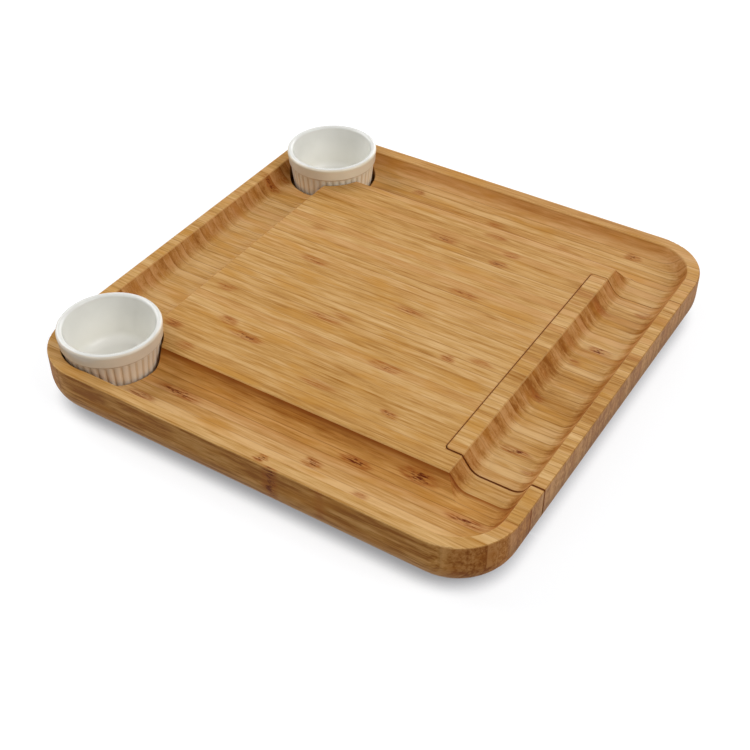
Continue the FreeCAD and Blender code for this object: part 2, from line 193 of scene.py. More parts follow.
def lens(tree, away, part):
    """Mask of a lens, from how far along it a place is and where across its strip."""
    slimness = 1.2
    across = calc(tree, "MULTIPLY", calc(tree, "SUBTRACT", part, 0.5), slimness)
    across = calc(tree, "MULTIPLY", across, across)
    from_middle = calc(tree, "SQRT", calc(tree, "MULTIPLY_ADD", away, away, across))
    return step_down(tree, from_middle, 0.0, 1.0)


def stalk_node():
    """Mask of one node of the stalk, a lens of stain on the strip chosen by its number."""
    group, given = new_group("stalk node",
                             [("Along", "Float", 0.0), ("Strip", "Float", 0.0), ("Part", "Float", 0.5),
                              ("Middle", "Float", 0.0), ("Number", "Float", 0.0),
                              ("Reach", "Float", 0.005)],
                             [("Mask", "Float")])
    same = calc(group, "COMPARE", given["Strip"], given["Number"], 0.5)
    away = calc(group, "ABSOLUTE", calc(group, "SUBTRACT", given["Along"], given["Middle"]))
    away = calc(group, "DIVIDE", away, given["Reach"])
    add(group, "NodeGroupOutput", {"Mask": calc(group, "MULTIPLY", same, lens(group, away, given["Part"]))})
    return group


def bamboo_wood():
    """Glued bamboo with its grain along the place's X and its strips side by side along Y."""
    group, given = new_group("bamboo wood",
                             [("Place", "Vector", None), ("End Grain", "Float", 0.0),
                              ("Marks", "Float", 0.0), ("Stain", "Float", 0.0),
                              ("Broad Face", "Float", 0.0), ("SeamShade", "Float", 0.0),
                              ("Strip Width", "Float", 0.007), ("Layer Height", "Float", 0.02),
                              ("Batch", "Float", 0.0), ("Contrast", "Float", 1.0),
                              ("Node Share", "Float", 0.3)],
                             [("Colour", "Color"), ("Roughness", "Float"), ("Height", "Float")])
    place, end, batch = given["Place"], given["End Grain"], given["Batch"]
    along = part_of(group, place, 0)
    lattice = place_group(group, lattice_group, Place=place, Strip_Width=given["Strip Width"],
                          Layer_Height=given["Layer Height"], Batch=batch)
    strip, layer, part, edge = lattice

    # what each strip draws; the shifts only keep one draw apart from another
    batch_shift = 0.37
    layer_shift = 31.0
    other_batch = calc(group, "ADD", batch, batch_shift)
    other_layer = calc(group, "ADD", layer, layer_shift)
    draw = chance(group, vector_of(group, strip, layer, batch))
    shade_of_strip = draw[0]
    node_start = draw[2]
    flip, line_depth, hue = chance(group, vector_of(group, strip, layer, other_batch))[:3]
    strips_in_sheet = 3.0
    sheet = calc(group, "FLOOR", calc(group, "DIVIDE", strip, strips_in_sheet))
    shade_of_sheet = chance(group, vector_of(group, sheet, layer, batch))[0]

    # the stalk's skin side has closer fibres; it is turned either way in the lamination
    skin = calc(group, "ABSOLUTE", calc(group, "SUBTRACT", calc(group, "GREATER_THAN", flip, 0.5), part))

    # fibres: long streaks down the grain, dots on the ends
    drift = noise_at(group, vector_of(group, along, strip, layer), waves=(11.0, 5.3, 1.0), detail=1.0)
    streak = noise_at(group, place, waves=(42.0, 620.0, 260.0), detail=4.0, roughness=0.62)
    vein = noise_at(group, place, waves=(24.0, 280.0, 200.0), detail=1.0)
    fibre = noise_at(group, place, waves=(90.0, 2300.0, 2300.0))
    bundle = noise_at(group, place, waves=(33.0, 1100.0, 1100.0))
    least_close = 0.3
    closeness = calc(group, "MULTIPLY_ADD", skin, 1.0 - least_close, least_close)
    dash = calc(group, "MULTIPLY", step_up(group, bundle, 0.55, 0.70), closeness)
    glint = step_down(group, bundle, 0.30, 0.44)

    # glue lines, some fainter than others
    line_core = 0.00010
    line_edge = 0.00055
    faintest_line = 0.1
    line_depth = calc(group, "MULTIPLY_ADD", line_depth, 1.0 - faintest_line, faintest_line)
    line = calc(group, "MULTIPLY", step_down(group, edge, line_core, line_edge), line_depth)

    # nodes of the stalk at random places along some strips, besides the ones given
    node_pitch = 0.210
    shortest_reach = 0.006
    reach_spread = 0.010
    boldest_node = 0.8
    longest_start = 9.0
    node_run = calc(group, "MULTIPLY_ADD", node_start, longest_start,
                    calc(group, "DIVIDE", along, node_pitch))
    node_index = calc(group, "FLOOR", node_run)
    off = calc(group, "SUBTRACT", calc(group, "SUBTRACT", node_run, node_index), 0.5)
    off = calc(group, "ABSOLUTE", calc(group, "MULTIPLY", off, node_pitch))
    node_draw = chance(group, vector_of(group, strip, other_layer, node_index))
    reach = calc(group, "MULTIPLY_ADD", node_draw[1], reach_spread, shortest_reach)
    node = lens(group, calc(group, "DIVIDE", off, reach), part)
    rarity = calc(group, "SUBTRACT", 1.0, given["Node Share"])
    node = calc(group, "MULTIPLY", node, step_up(group, node_draw[0], rarity, 1.0))
    marks = calc(group, "ADD", calc(group, "MULTIPLY", node, boldest_node), given["Marks"], clamp=True)

    # a node is a soft reddish stain, with dark specks and torn fibres in its middle
    torn = noise_at(group, place, waves=(75.0, 850.0, 850.0), detail=4.0, roughness=0.65)
    speck = noise_at(group, place, waves=(420.0, 800.0, 800.0))
    least_smudge = 0.2
    mark_weight = 0.5
    fibres = sway(group, torn, 1.3, sway(group, speck, 0.7, 0.0))
    smudge = calc(group, "MULTIPLY_ADD", step_up(group, torn, 0.36, 0.62), 1.0 - least_smudge,
                  least_smudge)
    halo = calc(group, "MULTIPLY", step_up(group, marks, 0.0, 0.45), smudge, clamp=True)
    core = step_up(group, calc(group, "MULTIPLY_ADD", marks, mark_weight, fibres), 0.30, 0.58)
    core = calc(group, "MULTIPLY", core, step_up(group, marks, 0.0, 0.85), clamp=True)

    # tone of the wood, dark 0 to light 1; the ends of the strips differ more than their sides
    middle_tone = 0.57
    end_contrast = 0.3
    dash_tone = -0.30
    glint_tone = 0.16
    tone = 0.0
    for value, amount in ((shade_of_strip, 0.30), (shade_of_sheet, 0.20), (drift, 0.5), (vein, 0.55)):
        tone = sway(group, value, amount, tone)
    tone = calc(group, "MULTIPLY", tone, calc(group, "MULTIPLY_ADD", end, end_contrast, given["Contrast"]))
    skin_tone = calc(group, "MULTIPLY_ADD", end, 0.35, 0.14)
    tone = calc(group, "MULTIPLY_ADD", calc(group, "SUBTRACT", 0.5, skin), skin_tone, tone)
    for value, amount in ((streak, 1.3), (fibre, 0.5)):
        tone = sway(group, value, amount, tone)
    tone = calc(group, "MULTIPLY_ADD", dash, dash_tone, tone)
    tone = calc(group, "MULTIPLY_ADD", glint, glint_tone, tone)
    tone = calc(group, "SUBTRACT", calc(group, "ADD", tone, middle_tone), given["Stain"], clamp=True)

    dark_straw = rgb(158, 102, 34)
    straw = rgb(197, 149, 84)
    pale_straw = rgb(222, 181, 124)
    pink = rgb(200, 138, 84)
    honey = rgb(196, 138, 54)
    pink_share = 0.30
    honey_share = 0.55
    ramp = add(group, "ShaderNodeValToRGB", {0: tone})
    ramp.color_ramp.elements[0].color = dark_straw
    ramp.color_ramp.elements[1].color = pale_straw
    ramp.color_ramp.elements.new(0.5).color = straw
    pink_strip = calc(group, "MULTIPLY", step_up(group, hue, 0.5, 1.0), pink_share)
    wood = blend(group, pink_strip, ramp.outputs[0], pink)
    honey_patch = noise_at(group, place, waves=(26.0, 90.0, 90.0), detail=3.0)
    honey_patch = step_up(group, honey_patch, 0.50, 0.72)
    wood = blend(group, calc(group, "MULTIPLY", honey_patch, honey_share), wood, honey)

    oiled_end = rgb(225, 206, 188)
    broad_face_shade = rgb(244, 228, 202)
    glue = rgb(136, 80, 28)
    node_stain = rgb(160, 86, 26)
    node_heart = rgb(104, 40, 0)
    seam_shade_brown = rgb(140, 60, 0)
    glue_share = 0.60
    stain_share = 0.78
    wood = tint(group, end, wood, oiled_end)
    # the broad faces of the strips, on the sides along Y, are tinted darker and redder: partly their own
    # colour, partly painted shade
    wood = tint(group, given["Broad Face"], wood, broad_face_shade)
    wood = blend(group, calc(group, "MULTIPLY", line, glue_share), wood, glue)
    wood = blend(group, calc(group, "MULTIPLY", halo, stain_share), wood, node_stain)
    wood = blend(group, core, wood, node_heart)
    # painted shade beside the drawer's seams
    wood = blend(group, given["SeamShade"], wood, seam_shade_brown)

    # the oil lies smoother on the sides than on the ends, and the glue lines are sunk
    smoothest = 0.42
    streak_roughness = 0.16
    end_roughness = 0.14
    streak_relief = 0.6
    fibre_relief = 0.4
    line_relief = 0.6
    rough = calc(group, "MULTIPLY_ADD", streak, streak_roughness, smoothest)
    rough = calc(group, "MULTIPLY_ADD", end, end_roughness, rough)
    height = calc(group, "MULTIPLY_ADD", fibre, fibre_relief,
                  calc(group, "MULTIPLY", streak, streak_relief))
    height = calc(group, "SUBTRACT", height, calc(group, "MULTIPLY", line, line_relief))
    add(group, "NodeGroupOutput", {"Colour": wood, "Roughness": rough, "Height": height})
    return group


def painted_seam_shade():
    """Painted shade along one seam of the drawer, from Low to High, above the foot's round: a dark band
    beside the seam's gap.
    """
    group, given = new_group("seam shade",
                             [("Across", "Float", 1.0), ("Along", "Float", 0.0), ("Up", "Float", 0.0),
                              ("Middle", "Float", 0.0), ("Low", "Float", 0.0), ("High", "Float", 0.0),
                              ("Reach", "Float", 0.001), ("Strength", "Float", 0.0)], [("SeamShade", "Float")])
    away = calc(group, "ABSOLUTE", calc(group, "SUBTRACT", given["Across"], given["Middle"]))
    away = calc(group, "DIVIDE", away, given["Reach"])
    within = calc(group, "MULTIPLY", calc(group, "GREATER_THAN", given["Along"], given["Low"]),
                  calc(group, "LESS_THAN", given["Along"], given["High"]))
    seam_darkening = calc(group, "MULTIPLY", step_down(group, away, 0.5, 1.0),
                calc(group, "MULTIPLY", within, given["Strength"]))
    foot_top = (0.018, 0.027)
    seam_darkening = calc(group, "MULTIPLY", seam_darkening, step_up(group, given["Up"], *foot_top))
    add(group, "NodeGroupOutput", {"SeamShade": seam_darkening})
    return group


def outer_wall():
    """Where the block's outside wall is, with the patchy stain of the oil on it."""
    group, given = new_group("outer wall",
                             [("Place", "Vector", None), ("Strip Place", "Vector", None),
                              ("Normal", "Vector", None)], [("Wall", "Float"), ("Stain", "Float")])
    arc_middle = 0.120
    wall_from_arc = (0.0215, 0.0225)
    per_half_side = 6.0
    beyond = calc_vector(group, "SUBTRACT", calc_vector(group, "ABSOLUTE", given["Place"]),
                         (arc_middle, arc_middle, 1.0))
    beyond = calc_vector(group, "MAXIMUM", beyond, (0, 0, 0))
    distance = calc_vector(group, "LENGTH", beyond, output="Value")
    outward = calc_vector(group, "MULTIPLY", given["Place"], (per_half_side, per_half_side, 0.0))
    outward = dot(group, given["Normal"], outward)
    wall = calc(group, "MULTIPLY", step_up(group, distance, *wall_from_arc),
                step_up(group, outward, 0.30, 0.60))
    patch_stain = 3.4
    mean_stain = 0.06
    patch = noise_at(group, given["Strip Place"], waves=(26.0, 560.0, 300.0), detail=4.0, roughness=0.7)
    stain = calc(group, "MULTIPLY", wall, sway(group, patch, patch_stain, mean_stain))

    # the moat's floor is made a little paler
    floor_height = (0.0275, 0.0290)
    paler = -0.09
    moat_floor = calc(group, "MULTIPLY", step_up(group, part_of(group, given["Normal"], 2), 0.90, 0.99),
                      step_down(group, part_of(group, given["Place"], 2), *floor_height))
    stain = calc(group, "MULTIPLY_ADD", moat_floor, paler, stain)
    add(group, "NodeGroupOutput", {"Wall": wall, "Stain": stain})
    return group


def edge_light_and_ends():
    """Painted highlights on the block's eased edges, and the look of its ends with their painted sheen and
    shade, laid over the colour of its wood.
    """
    group, given = new_group("edge light and ends",
                             [("Colour", "Color", None), ("Place", "Vector", None),
                              ("Normal", "Vector", None), ("Facing", "Float", 0.0), ("Wall", "Float", 0.0),
                              ("Eased", "Float", 0.30), ("Square", "Float", 0.26)],
                             [("Colour", "Color")])
    wall = given["Wall"]
    level = part_of(group, given["Normal"], 2)
    high = part_of(group, given["Place"], 2)

    # the eased edges round the top are painted paler, a painted highlight where they catch the light
    eased_height = (0.0370, 0.0373)
    edge_highlight = rgb(238, 196, 128)
    eased = calc(group, "SUBTRACT", step_up(group, level, 0.05, 0.35), step_up(group, level, 0.90, 0.99))
    eased = calc(group, "MULTIPLY", eased, step_up(group, high, *eased_height))
    colour = blend(group, calc(group, "MULTIPLY", eased, given["Eased"]), given["Colour"], edge_highlight)

    # the corners' slanting end grain is darker, partly its own colour and partly painted shade, and the
    # square ends are paler and greyer from sanding, partly a painted sheen of the pale surround
    slant_end_shade = rgb(226, 212, 196)
    sanded_grey_sheen = rgb(173, 150, 128)
    painted_low_shade = rgb(226, 226, 228)
    low_shade_height = (0.020, 0.028)
    squarely = calc(group, "ABSOLUTE", given["Facing"])
    slanting = calc(group, "MULTIPLY", step_up(group, squarely, 0.20, 0.50),
                    step_down(group, squarely, 0.86, 0.99))
    colour = tint(group, calc(group, "MULTIPLY", wall, slanting), colour, slant_end_shade)
    square = calc(group, "MULTIPLY", wall, step_up(group, squarely, 0.94, 0.995))
    colour = blend(group, calc(group, "MULTIPLY", square, given["Square"]), colour, sanded_grey_sheen)
    # painted shade low on the square ends, above where the foot rounds under
    low = calc(group, "MULTIPLY", square, step_down(group, high, *low_shade_height))
    colour = tint(group, low, colour, painted_low_shade)
    add(group, "NodeGroupOutput", {"Colour": colour})
    return group


lattice_group = strip_lattice()
stalk_group = stalk_node()
bamboo_group = bamboo_wood()
seam_shade_group = painted_seam_shade()
wall_group = outer_wall()
edge_light_group = edge_light_and_ends()


def new_finish(name):
    """New material, its node tree, its shader and its Object coordinates."""
    material = bpy.data.materials.new(name)
    material.use_nodes = True
    tree = material.node_tree
    whole = add(tree, "ShaderNodeTexCoord").outputs["Object"]
    return material, tree, tree.nodes["Principled BSDF"], whole


def face_normal(tree):
    return add(tree, "ShaderNodeNewGeometry").outputs["Normal"]


def surface(tree, shader, colour, roughness, height, relief, depth):
    """Join a colour, a roughness and a bump to the shader. depth is the bump's, in metres."""
    tree.links.new(colour, shader.inputs["Base Color"])
    tree.links.new(roughness, shader.inputs["Roughness"])
    bump = add(tree, "ShaderNodeBump", {"Height": height, "Strength": relief, "Distance": depth})
    tree.links.new(bump.outputs[0], shader.inputs["Normal"])


def bamboo_material(name, turn=0.0, line_at=(0.0, 0.0), width=0.00695, height=0.02, batch=0.0,
                    contrast=1.0, node_share=0.3, marks=(), stains=(), seams=(), walled=False,
                    painted_shade_edge_y=None, darken=None):
    """Oiled bamboo lamination.

    turn swings the grain from X towards Y, and line_at is a point on a glue line.
    width and height are a strip's, and batch picks other strips of the same kind.
    marks are (x, y, length, strength) of single nodes, stains (y, strength) of dark strips.
    seams are (axis, middle, low, high, reach, strength) of lines of painted shade beside the drawer's
    seams: axis is the one that the line crosses, and low and high are its ends on the other one.
    walled gives the block's outside wall its look, with a painted highlight on its eased edges and painted
    shade low on its ends;
    painted_shade_edge_y is the y of an edge under which shade is painted, and darken tints the whole.
    """
    material, tree, shader, whole = new_finish(name)
    oil_sheen = 0.10
    layers_start = -0.001
    shader.inputs["Specular IOR Level"].default_value = oil_sheen
    shift = (-line_at[0], -line_at[1], -layers_start)
    shifted = add(tree, "ShaderNodeMapping", {"Vector": whole, "Location": shift}).outputs[0]
    place = add(tree, "ShaderNodeMapping", {"Vector": shifted, "Rotation": (0, 0, -turn)}).outputs[0]
    normal = face_normal(tree)
    facing = dot(tree, normal, (math.cos(turn), math.sin(turn), 0))
    sideways = dot(tree, normal, (-math.sin(turn), math.cos(turn), 0))
    strips = {"Place": place, "Strip_Width": width, "Layer_Height": height, "Batch": batch}
    feeds = {"Stain": 0.0, "End_Grain": step_up(tree, calc(tree, "ABSOLUTE", facing), 0.15, 0.85),
             "Broad_Face": step_up(tree, calc(tree, "ABSOLUTE", sideways), 0.70, 0.97)}
    if walled:
        wall, feeds["Stain"] = place_group(tree, wall_group, Place=whole, Strip_Place=place, Normal=normal)

    # painted shade in dark bands beside the drawer's seams
    seam_shade = 0.0
    for axis, middle, low, high, reach, strength in seams:
        seam_darkening = place_group(tree, seam_shade_group, Across=part_of(tree, whole, axis),
                           Along=part_of(tree, whole, 1 - axis), Up=part_of(tree, whole, 2), Middle=middle,
                           Low=low, High=high, Reach=reach, Strength=strength)["SeamShade"]
        seam_shade = calc(tree, "MAXIMUM", seam_darkening, seam_shade)
    feeds["SeamShade"] = seam_shade

    if marks or stains:
        raggedness = 0.009
        reach_of_length = 0.80
        lattice = place_group(tree, lattice_group, **strips)
        stray = noise_at(tree, place, waves=(60.0, 300.0, 60.0))
        along = sway(tree, stray, raggedness, part_of(tree, place, 0))
        brown = 0.0
        for x, y, length, strength in marks:
            mask = place_group(tree, stalk_group, Along=along, Strip=lattice["Strip"], Part=lattice["Part"],
                               Reach=reach_of_length * length, Middle=x - line_at[0],
                               Number=math.floor((y - line_at[1]) / width))["Mask"]
            brown = calc(tree, "MULTIPLY_ADD", mask, strength, brown)
        for y, strength in stains:
            same = calc(tree, "COMPARE", lattice["Strip"], math.floor((y - line_at[1]) / width), 0.5)
            feeds["Stain"] = calc(tree, "MULTIPLY_ADD", same, strength, feeds["Stain"])
        feeds["Marks"] = brown

    wood = place_group(tree, bamboo_group, Contrast=contrast, Node_Share=node_share, **strips, **feeds)
    colour = wood["Colour"]
    if walled:
        colour = place_group(tree, edge_light_group, Colour=colour, Place=whole, Normal=normal, Facing=facing,
                             Wall=wall)["Colour"]
    if painted_shade_edge_y:
        # painted shade on the moat's wall under the platform's edge, darkest just under the edge
        platform_edge = 0.0372
        past_edge = (-0.0001, 0.0003)
        off = calc(tree, "SUBTRACT", painted_shade_edge_y, part_of(tree, whole, 1))
        under = calc(tree, "MULTIPLY", step_up(tree, off, *past_edge),
                     calc(tree, "LESS_THAN", part_of(tree, whole, 2), platform_edge))
        # a faint painted shade reaching 12 to 22 mm out, and a dark one close under the edge
        for fading, stain in (((0.012, 0.022), rgb(247, 232, 206)), ((0.0006, 0.0036), rgb(192, 152, 92))):
            colour = tint(tree, calc(tree, "MULTIPLY", under, step_down(tree, off, *fading)), colour, stain)
    if darken:
        colour = tint(tree, 1.0, colour, darken)
    surface(tree, shader, colour, wood["Roughness"], wood["Height"], relief=0.6, depth=0.00006)
    return material


def dress(node, material):
    """Give a node its finish."""
    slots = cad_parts[node].material_slots
    if not slots:
        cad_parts[node].data.materials.append(material)
    for slot in slots:
        slot.material = material


# the boldest nodes of the block, its darkest and palest strips, and the drawer's three seams, beside which
# shade is painted
board_marks = [
    (0.043, 0.077, 0.012, 0.85), (0.046, 0.092, 0.012, 0.7), (0.026, 0.102, 0.018, 0.55),
    (0.040, 0.036, 0.022, 0.6), (-0.065, 0.015, 0.022, 0.6), (0.018, 0.002, 0.026, 0.6),
    (-0.024, -0.034, 0.026, 0.6), (0.034, -0.056, 0.020, 0.75), (-0.056, -0.076, 0.026, 0.8),
    (-0.075, -0.069, 0.014, 0.65), (0.060, -0.092, 0.012, 0.7), (0.008, -0.093, 0.028, 0.45),
    (-0.083, -0.104, 0.014, 0.6), (0.083, -0.018, 0.018, 0.45), (0.063, -0.027, 0.010, 0.55),
    (-0.097, -0.044, 0.014, 0.6), (-0.103, -0.091, 0.014, 0.7), (-0.085, 0.050, 0.014, 0.4),
    (-0.066, -0.131, 0.034, 0.85), (0.058, -0.124, 0.020, 0.9), (0.097, -0.118, 0.022, 1.0),
    (0.038, -0.140, 0.012, 0.85), (0.134, -0.131, 0.024, 0.85), (0.075, -0.144, 0.012, 0.5),
    (0.112, 0.147, 0.012, 0.75), (-0.057, 0.141, 0.010, 0.6), (0.012, 0.132, 0.014, 0.4),
    (-0.152, 0.080, 0.014, 0.8), (-0.150, 0.097, 0.014, 0.5),
    (0.0240, -0.166, 0.009, 0.9), (0.0275, -0.166, 0.009, 0.7), (0.060, -0.166, 0.008, 0.4),
    (0.017, -0.158, 0.007, 0.9),
]
board_stains = [(-0.118, 0.04), (-0.125, 0.09), (-0.139, -0.16), (-0.145, -0.14), (-0.163, -0.05),
                (0.139, -0.10), (0.153, -0.14), (0.003, 0.10), (-0.004, 0.10)]
drawer_seams = [(0, 0.10125, -0.0965, 0.1000, 0.0009, 0.40), (1, -0.09745, 0.1018, 0.1655, 0.0012, 0.65),
                (1, 0.10020, 0.1018, 0.1655, 0.0004, 0.1)]
dress("board_body", bamboo_material("board bamboo", line_at=(0, 0.0033), node_share=0.12, marks=board_marks,
                                    stains=board_stains, seams=drawer_seams, walled=True,
                                    painted_shade_edge_y=-0.1125))


# ---- Base panel ----------------------------------------------------------------
# A thin bamboo sheet, pressed from wide flat strips, that closes the drawer's cavity
# from below. It lies in a rebate and is held by eight screws.

dress("base_panel", bamboo_material("panel bamboo", width=0.0196, height=0.05, batch=7.0,
                                    darken=rgb(240, 232, 222), node_share=0.5))


# ---- Base screws ---------------------------------------------------------------
# Countersunk wood screws of zinc-plated steel, pressed and threaded. Eight of them hold
# the panel in its rebate.

def worked_metal():
    """Fine marks of working on bare metal, darker and rougher where they are deep."""
    group, given = new_group("worked metal",
                             [("Place", "Vector", None), ("Waves", "Vector", None),
                              ("Metal", "Color", None), ("Least Rough", "Float", 0.3),
                              ("Spread", "Float", 0.1)],
                             [("Colour", "Color"), ("Roughness", "Float"), ("Height", "Float")])
    marks = noise_at(group, given["Place"], given["Waves"], detail=3.0)
    deep_mark = (0.72, 0.72, 0.72, 1.0)
    shade = tint(group, 1.0, given["Metal"], deep_mark)
    add(group, "NodeGroupOutput", {
        "Colour": blend(group, step_up(group, marks, 0.3, 0.7), given["Metal"], shade),
        "Roughness": calc(group, "MULTIPLY_ADD", marks, given["Spread"], given["Least Rough"]),
        "Height": marks})
    return group


metal_group = worked_metal()


def metal(name, colour, roughness, spread, waves):
    """Metal with fine marks; waves says how many there are to the metre along X, Y and Z."""
    material, tree, shader, whole = new_finish(name)
    shader.inputs["Metallic"].default_value = 1.0
    marks = place_group(tree, metal_group, Place=whole, Waves=waves, Metal=colour, Least_Rough=roughness,
                        Spread=spread)
    surface(tree, shader, marks["Colour"], marks["Roughness"], marks["Height"], relief=0.2, depth=0.00002)
    return material


zinc_plate = metal("zinc plate", rgb(196, 194, 186), roughness=0.28, spread=0.15,
                   waves=(900.0, 900.0, 900.0))
dress("base_screws", zinc_plate)


# ---- Runners -------------------------------------------------------------------
# Two square bamboo strips on the cavity's side walls, each held by three small screws.
# The tray's grooves slide on them.

runner_bamboo = bamboo_material("runner bamboo", line_at=(0, 0.0012), width=0.0199, height=0.05, batch=3.0)
for runner in ("near_runner", "far_runner"):
    dress(runner, runner_bamboo)
dress("runner_screws", zinc_plate)


# ---- Magnets -------------------------------------------------------------------
# Nickel-plated discs, two in the cavity's back wall and two in the tray, that hold the
# drawer shut.

nickel_plate = metal("nickel plate", rgb(206, 203, 196), roughness=0.14, spread=0.12,
                     waves=(500.0, 500.0, 500.0))
for magnets in ("board_magnets", "drawer_magnets"):
    dress(magnets, nickel_plate)


# ---- Drawer front --------------------------------------------------------------
# A full-height piece of the same lamination, with its own stretch of platform, moat
# and rim, cut from another length of bamboo than the block.

front_marks = [
    (0.1365, 0.0425, 0.016, 1.0), (0.127, 0.023, 0.012, 0.5), (0.120, 0.076, 0.012, 0.5),
    (0.145, 0.090, 0.011, 0.6), (0.122, -0.018, 0.010, 0.7), (0.132, -0.067, 0.018, 1.0),
    (0.147, -0.082, 0.010, 0.4), (0.106, 0.062, 0.012, 0.3),
]
front_stains = [(-0.002, 0.14), (0.088, 0.08), (0.066, 0.07), (0.052, 0.07), (0.029, 0.09), (-0.028, 0.12)]
dress("drawer_front", bamboo_material("front bamboo", line_at=(0, 0.0011), width=0.00606, batch=41.0,
                                      contrast=1.5, node_share=0.1, marks=front_marks, stains=front_stains,
                                      seams=drawer_seams, walled=True))


# ---- Drawer tray ---------------------------------------------------------------
# One bamboo board behind the front, with its grain across the drawer. A recess for
# each tool and a channel for the fingers are milled into it.

dress("drawer_tray", bamboo_material("tray bamboo", turn=math.pi / 2, height=0.05, batch=13.0))


# ---- Dowels --------------------------------------------------------------------
# Three turned bamboo dowels, with the grain along their length, that join the tray to
# the front. They are glued into holes in both.

dress("drawer_dowels", bamboo_material("dowel bamboo", width=0.02, height=0.05, batch=19.0))


# ---- Tool blades ---------------------------------------------------------------
# Stamped stainless steel, brushed along its length and ground thin at the cutting edge.
# A flat tang at the end of each blade goes into its handle.

tools = ("cleaver", "spade", "fork", "slicer")
blade_steel = metal("brushed steel", rgb(166, 167, 168), roughness=0.30, spread=0.12,
                    waves=(1500.0, 14.0, 1500.0))
for tool in tools:
    dress(tool + "_blade", blade_steel)


# ---- Tool handles --------------------------------------------------------------
# Shaped bamboo with the grain along the handle, sanded and oiled. Each is slotted for
# its blade's tang and glued on it.

for number, tool in enumerate(tools):
    dress(tool + "_handle", bamboo_material(tool + " handle bamboo", turn=math.pi / 2, width=0.0062,
                                            height=0.05, batch=23.0 + 3.0 * number))


# ---- Ramekins ------------------------------------------------------------------
# Fluted white stoneware, glazed all over but for the foot ring. Its glaze carries painted light low in the
# bowl and on its floor, a painted highlight on the lip, painted shade in the grooves and a painted warm
# reflection of the wood outside.

def poured_glaze():
    """White glaze on a ramekin, with its painted light, shade and warm reflection, from the place about the
    middle of its foot.
    """
    group, given = new_group("poured glaze",
                             [("Place", "Vector", None), ("Normal", "Vector", None),
                              ("Outside Tint", "Color", (1.0, 1.0, 1.0, 1.0))],
                             [("Colour", "Color"), ("Roughness", "Float"), ("Height", "Float")])
    x, y, high = (part_of(group, given["Place"], axis) for axis in range(3))
    ripple = noise_at(group, given["Place"], waves=(160.0, 160.0, 160.0))
    per_radius = 33.0
    outward = calc_vector(group, "MULTIPLY", given["Place"], (per_radius, per_radius, 0.0))
    outside = step_up(group, dot(group, given["Normal"], outward), 0.40, 0.80)

    # 40 ribs, with a groove half a step after each, up to the shoulder under the plain band
    rib_count = 40
    first_rib = math.radians(2.5)
    shoulder = 0.0276
    fading = (shoulder - 0.0035, shoulder - 0.0005)
    band_reach = (0.0002, 0.0010)
    turned = calc(group, "SUBTRACT", calc(group, "ARCTAN2", y, x), first_rib)
    crest = calc(group, "COSINE", calc(group, "MULTIPLY", turned, rib_count))
    groove = calc(group, "MULTIPLY", step_up(group, crest, 0.1, -0.9), step_down(group, high, *fading))
    groove = calc(group, "MULTIPLY", groove, outside)
    off_shoulder = calc(group, "ABSOLUTE", calc(group, "SUBTRACT", high, shoulder))
    under_band = calc(group, "MULTIPLY", step_down(group, off_shoulder, *band_reach), outside)

    # heights of the painted light low in the bowl and on its floor, of the bare foot ring, and of the lip
    painted_light_up_to = (0.006, 0.030)
    floor_light_top = (0.005, 0.011)
    bare_up_to = (0.0006, 0.0012)
    lip_from = 0.034
    lip = calc(group, "MULTIPLY", step_up(group, part_of(group, given["Normal"], 2), 0.1, 0.9),
               calc(group, "GREATER_THAN", high, lip_from))
    bare = step_down(group, high, *bare_up_to)

    white = rgb(230, 229, 223)
    greyer_white = rgb(225, 224, 217)
    low_painted_light = rgb(248, 246, 238)
    floor_painted_light = rgb(255, 253, 247)
    lip_highlight = rgb(248, 247, 243)
    groove_shade_warm = rgb(224, 198, 158)
    band_brown = rgb(214, 176, 140)
    bare_clay = rgb(214, 205, 190)
    lip_highlight_share = 0.5
    groove_shade_share = 0.45
    band_share = 0.55
    colour = blend(group, ripple, white, greyer_white)
    # painted light: the glaze is paler low in the bowl and palest on its floor, against the bowl's shade
    colour = blend(group, step_down(group, high, *painted_light_up_to), colour, low_painted_light)
    colour = blend(group, step_down(group, high, *floor_light_top), colour, floor_painted_light)
    # painted highlight on the lip's top, where it faces up
    colour = blend(group, calc(group, "MULTIPLY", lip, lip_highlight_share), colour, lip_highlight)
    # painted warm reflection of the wood on the outside
    colour = tint(group, outside, colour, given["Outside Tint"])
    # painted shade in the grooves, warmed as a painted reflection of the wood
    colour = tint(group, calc(group, "MULTIPLY", groove, groove_shade_share), colour, groove_shade_warm)
    colour = tint(group, calc(group, "MULTIPLY", under_band, band_share), colour, band_brown)
    colour = blend(group, bare, colour, bare_clay)
    smoothest = 0.10
    ripple_roughness = 0.1
    clay_roughness = 0.6
    rough = calc(group, "MULTIPLY_ADD", ripple, ripple_roughness, smoothest)
    rough = calc(group, "MULTIPLY_ADD", bare, clay_roughness, rough)
    add(group, "NodeGroupOutput", {"Colour": colour, "Roughness": rough, "Height": ripple})
    return group


glaze_group = poured_glaze()


def ramekin_material(name, outside_reflection, low_corner, high_corner):
    """Glaze of one ramekin. outside_reflection is the painted warm reflection of the wood on its outside,
    and low_corner and high_corner are those of its box.
    """
    material, tree, shader, whole = new_finish(name)
    middle = (low_corner + high_corner) / 2
    to_foot = (-middle.x, -middle.y, -low_corner.z)
    place = add(tree, "ShaderNodeMapping", {"Vector": whole, "Location": to_foot}).outputs[0]
    glaze = place_group(tree, glaze_group, Place=place, Normal=face_normal(tree),
                        Outside_Tint=outside_reflection)
    surface(tree, shader, glaze["Colour"], glaze["Roughness"], glaze["Height"], relief=0.3, depth=0.0001)
    return material


